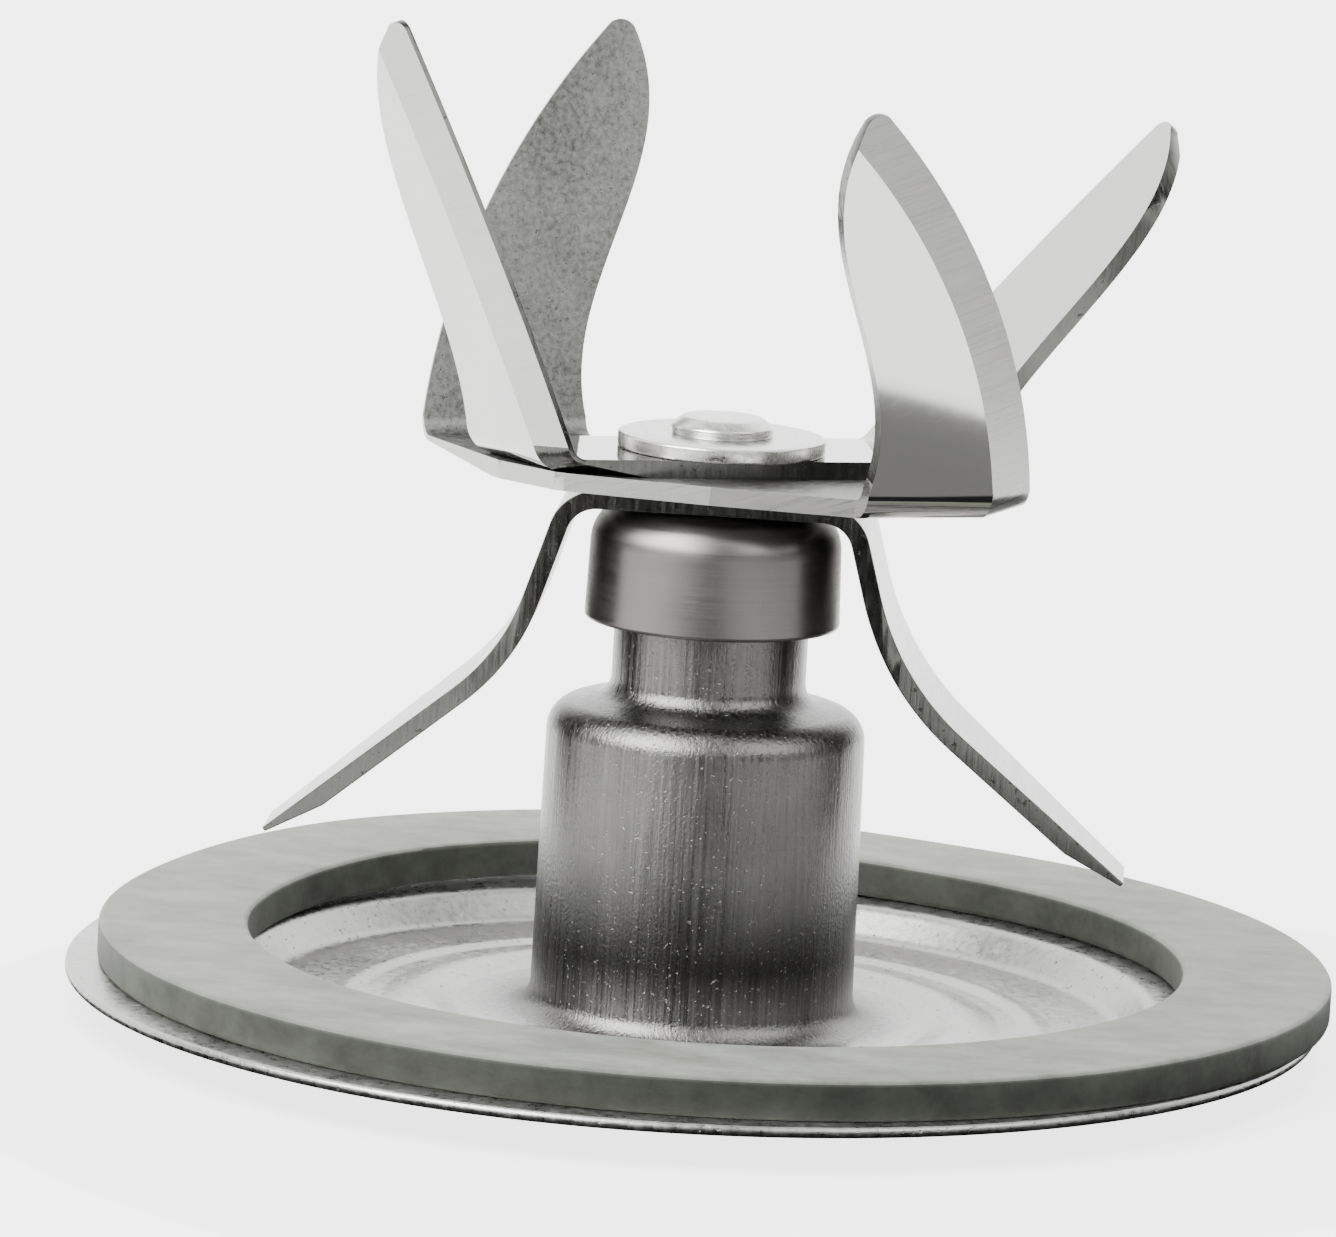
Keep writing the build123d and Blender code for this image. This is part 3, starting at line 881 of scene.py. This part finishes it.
class JUICERBLADE_OT_bearing(bpy.types.Operator):
    """Smooth and finish the bearing pieces that show from below"""
    bl_idname = "juicerblade.bearing"
    bl_label = "Bearing pieces"

    edge_break = 0.05 * MM

    def execute(self, context):
        bronze = plain_finish("sintered_bronze", (0.50, 0.34, 0.17), metallic=1.0, smooth=0.38, rough=0.6,
                              grain_size=2600.0, depth=0.6)
        nylon = plain_finish("natural_nylon", (0.78, 0.76, 0.70), metallic=0.0, smooth=0.35, rough=0.5,
                             grain_size=1800.0, depth=0.15)
        seal = plain_finish("black_seal_rubber", (0.02, 0.02, 0.021), metallic=0.0, smooth=0.55, rough=0.75,
                            grain_size=2600.0, depth=0.3)
        spring = plain_finish("dark_spring_steel", (0.20, 0.20, 0.205), metallic=1.0, smooth=0.28, rough=0.45,
                              grain_size=3200.0, depth=0.2)
        pieces = (
            ("bearing_bushing", "base", "bearing_bronze", bronze),
            ("shaft_seal", "base", "seal_rubber", seal),
            ("upper_thrust_washer", "base", "washer_plastic", nylon),
            ("lower_thrust_washer", "base", "washer_plastic", nylon),
            ("retaining_clip", "rotor", "spring_steel", spring),
            ("drive_spindle", "rotor", "spindle_steel", spindle_steel()),
        )
        for node, body, slot, material in pieces:
            piece = dressed_copy(node, f"{node}_finished", self.edge_break)
            finish_piece(piece, body, node, slot, material)
        return {"FINISHED"}


class JUICERBLADE_OT_stage(bpy.types.Operator):
    """Lay the pale floor and set the studio light and the camera"""
    bl_idname = "juicerblade.stage"
    bl_label = "Stage"

    floor_size = 60.0
    key_direction = (0.25, -0.12, -1)
    near_card_place = (12 * MM, -13 * MM, 0.3 * MM)
    front_card_place = (0, -370 * MM, 0.2 * MM)
    front_card_depth = 600 * MM
    left_card_place = (-75 * MM, -300 * MM, 0.1 * MM)
    left_card_spread = (70 * MM, 420 * MM)
    side_card_place = (360 * MM, -220 * MM, 0.1 * MM)
    side_card_spread = (530 * MM, 560 * MM)

    # Zones of the room: an axis of the direction, the limits of its fade and the strength at each limit
    zones = {
        "above": ("Z", 0.2, 0.7, 0.1, 1.0),
        "behind": ("Y", 0.0, 0.5, 0.1, 3.2),
        "high": ("Z", 0.22, 0.42, 0.0, 1.0),
        "frontal": ("Y", -0.3, 0.0, 1.0, 0.0),
        "left": ("X", -0.45, -0.15, 1.0, 0.0),
        "right": ("X", 0.15, 0.45, 0.0, 0.22),
    }
    between_windows = 0.04

    def execute(self, context):
        settings = stage_settings()
        self.lay_floor()
        self.light_world(context.scene, settings)
        self.overhead_light(context.scene, settings)
        self.lay_cards(settings)
        self.place_camera(context.scene, settings)
        return {"FINISHED"}

    def lay_floor(self):
        """Wide plain floor that reaches far past the part."""
        deselect_all()
        bpy.ops.mesh.primitive_plane_add(size=self.floor_size, location=(0, 0, 0))
        floor = bpy.context.object
        floor.name = "studio_floor"
        bpy.ops.object.mode_set(mode="EDIT")
        bpy.ops.mesh.select_all(action="SELECT")
        bpy.ops.mesh.subdivide(number_cuts=3)
        bpy.ops.object.mode_set(mode="OBJECT")
        floor.data.materials.append(floor_paint())

    def room_tone(self, tree, settings):
        """Strength of the room in each direction, with its windows."""
        direction = add_node(tree, "ShaderNodeTexCoord").outputs["Generated"]
        zone = {name: ramp(tree, along_axis(tree, direction, axis), *fade)
                for name, (axis, *fade) in self.zones.items()}
        sides = calculated(tree, "MAXIMUM", zone["left"], zone["right"])
        sides = calculated(tree, "MAXIMUM", sides, self.between_windows)
        window = calculated(tree, "MULTIPLY", zone["high"], zone["frontal"])
        window = calculated(tree, "MULTIPLY", window, sides)
        window = calculated(tree, "MULTIPLY", window, settings.window_strength)
        tone = calculated(tree, "MAXIMUM", zone["above"], zone["behind"])
        return calculated(tree, "MAXIMUM", tone, window)

    def light_world(self, scene, settings):
        """Soft room that the metal mirrors: bright overhead and behind the part, dim on the camera's side,
        with a bright window high at the front left and a weaker one at the front right. Past the floor the
        room shows one plain tone. The diffuse light comes from the overhead light and the floor."""
        world = bpy.data.worlds.new("studio_room")
        world.use_nodes = True
        tree = world.node_tree
        background = tree.nodes["Background"]
        seen = add_node(tree, "ShaderNodeLightPath").outputs["Is Camera Ray"]
        plain = settings.backdrop_glow / settings.room_strength
        tone = ramp(tree, seen, 0.0, 1.0, self.room_tone(tree, settings), plain)
        tree.links.new(tone, background.inputs["Color"])
        background.inputs["Strength"].default_value = settings.room_strength
        world.cycles_visibility.diffuse = False
        scene.world = world

    def overhead_light(self, scene, settings):
        """One broad, even light from above, a little from the left and the back."""
        light = bpy.data.lights.new("overhead_light", "SUN")
        light.energy = settings.key_strength
        light.angle = settings.key_spread
        lamp = bpy.data.objects.new("overhead_light", light)
        lamp.rotation_euler = Vector(self.key_direction).to_track_quat("-Z", "Y").to_euler()
        lamp.visible_glossy = False
        scene.collection.objects.link(lamp)

    def lay_cards(self, settings):
        """Dark cards on the floor and a pale one beside them, which show only as reflections."""
        dark = grained_card("dark_card", finishes().card)
        pale = grained_card("pale_card", finishes().pale_card)
        near = card_paint("near_card", near_card_tone)
        deselect_all()
        bpy.ops.mesh.primitive_circle_add(
            vertices=96, radius=settings.near_card_radius, fill_type="NGON", location=self.near_card_place)
        self.hide_card(bpy.context.object, "near_card", near)
        front_spread = (2 * settings.front_card_width, self.front_card_depth)
        self.flat_card("front_card", self.front_card_place, front_spread, dark)
        self.flat_card("front_left_card", self.left_card_place, self.left_card_spread, dark)
        side = self.flat_card("side_card", self.side_card_place, self.side_card_spread, pale)
        side.visible_diffuse = False

    def flat_card(self, name, place, spread, paint):
        """One rectangular card on the floor."""
        bpy.ops.mesh.primitive_plane_add(size=1, location=place)
        card = bpy.context.object
        card.scale = (*spread, 1)
        bpy.ops.object.transform_apply(location=False, rotation=False, scale=True)
        self.hide_card(card, name, paint)
        return card

    def hide_card(self, card, name, paint):
        """Keeps a card out of the picture and its shadow off the floor."""
        card.name = name
        card.data.materials.append(paint)
        card.visible_camera = False
        card.visible_shadow = False

    def place_camera(self, scene, settings):
        """Camera at the photograph's place, with the roll that the photograph has."""
        pitch, yaw, roll = settings.camera_pitch, settings.camera_yaw, settings.camera_roll
        ahead = Vector((math.sin(yaw) * math.cos(pitch), math.cos(yaw) * math.cos(pitch), -math.sin(pitch)))
        level = Vector((math.cos(yaw), -math.sin(yaw), 0))
        upright = level.cross(ahead)
        right = level * math.cos(roll) + upright * math.sin(roll)
        up = upright * math.cos(roll) - level * math.sin(roll)
        lens = bpy.data.cameras.new("photo_camera")
        lens.sensor_fit = "HORIZONTAL"
        lens.sensor_width = SENSOR_WIDTH
        lens.lens = FOCAL_PIXELS / PHOTO_WIDTH * SENSOR_WIDTH
        lens.clip_start = 10 * MM
        camera = bpy.data.objects.new("photo_camera", lens)
        turn = Matrix((right, up, -ahead)).transposed().to_4x4()
        place = Matrix.Translation((0, -settings.camera_distance, settings.camera_height))
        camera.matrix_world = place @ turn
        scene.collection.objects.link(camera)
        scene.camera = camera


class JUICERBLADE_PT_panel(bpy.types.Panel):
    """Lists the pieces in the order in which they are made"""
    bl_idname = "JUICERBLADE_PT_panel"
    bl_label = "Juicer blade"
    bl_space_type = "VIEW_3D"
    bl_region_type = "UI"
    bl_category = "Juicer blade"

    def draw(self, context):
        for operator in OPERATORS:
            self.layout.operator(operator.bl_idname)
        for group in (sizes(), finishes(), stage_settings()):
            box = self.layout.box()
            for name in group.__annotations__:
                box.prop(group, name)


GROUPS = {
    "juicer_blade_sizes": JuicerBladeSizes,
    "juicer_blade_finishes": JuicerBladeFinishes,
    "juicer_blade_stage": JuicerBladeStage,
}
OPERATORS = (
    JUICERBLADE_OT_housing,
    JUICERBLADE_OT_gasket,
    JUICERBLADE_OT_bell_cap,
    JUICERBLADE_OT_blades,
    JUICERBLADE_OT_washer,
    JUICERBLADE_OT_bearing,
    JUICERBLADE_OT_stage,
)
CLASSES = (*GROUPS.values(), *OPERATORS, JUICERBLADE_PT_panel)


def register():
    for kind in CLASSES:
        bpy.utils.register_class(kind)
    for name, group in GROUPS.items():
        setattr(bpy.types.Scene, name, PointerProperty(type=group))


def unregister():
    for name in GROUPS:
        delattr(bpy.types.Scene, name)
    for kind in reversed(CLASSES):
        bpy.utils.unregister_class(kind)


def main():
    register()
    bpy.ops.juicerblade.housing()
    bpy.ops.juicerblade.gasket()
    bpy.ops.juicerblade.bell_cap()
    bpy.ops.juicerblade.blades()
    bpy.ops.juicerblade.washer()
    bpy.ops.juicerblade.bearing()
    bpy.ops.juicerblade.stage()


if __name__ == "__main__":
    main()
